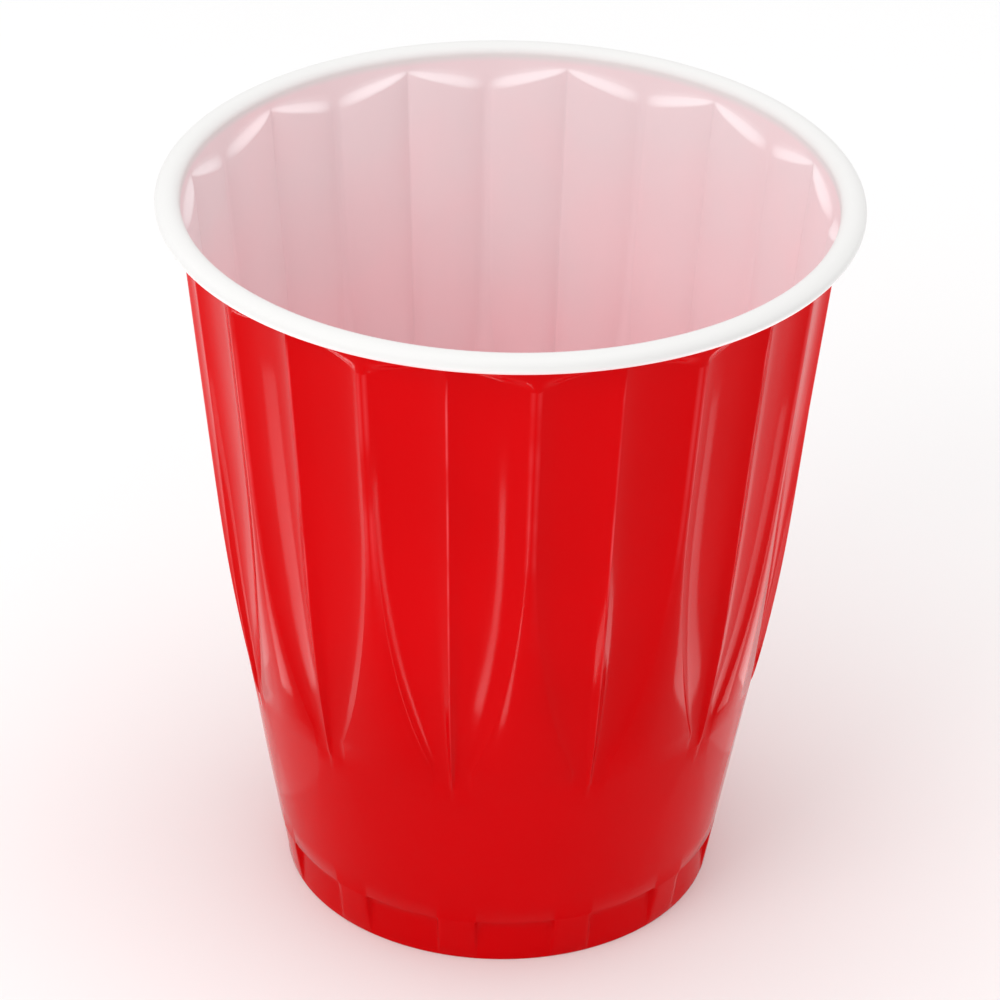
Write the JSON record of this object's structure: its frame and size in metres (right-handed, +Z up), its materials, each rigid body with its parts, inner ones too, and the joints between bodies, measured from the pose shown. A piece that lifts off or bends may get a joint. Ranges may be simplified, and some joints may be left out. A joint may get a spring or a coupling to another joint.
{
  "type": "disposable plastic cup",
  "caption": "Red disposable plastic party cup with a white inside, a white rolled lip and a fluted wall whose lancets run out on a plain lower cone.",
  "frame": {"origin": "centre of the foot ring on the table", "axes": "+Z up along the cup's axis; +X through the spine of one flute"},
  "size_m": [0.094, 0.094, 0.104],
  "materials": {
    "red_sheet": "gloss",
    "white_sheet": "gloss"
  },
  "bodies": {
    "root": {"cup": "red_sheet"}
  },
  "joints": []
}
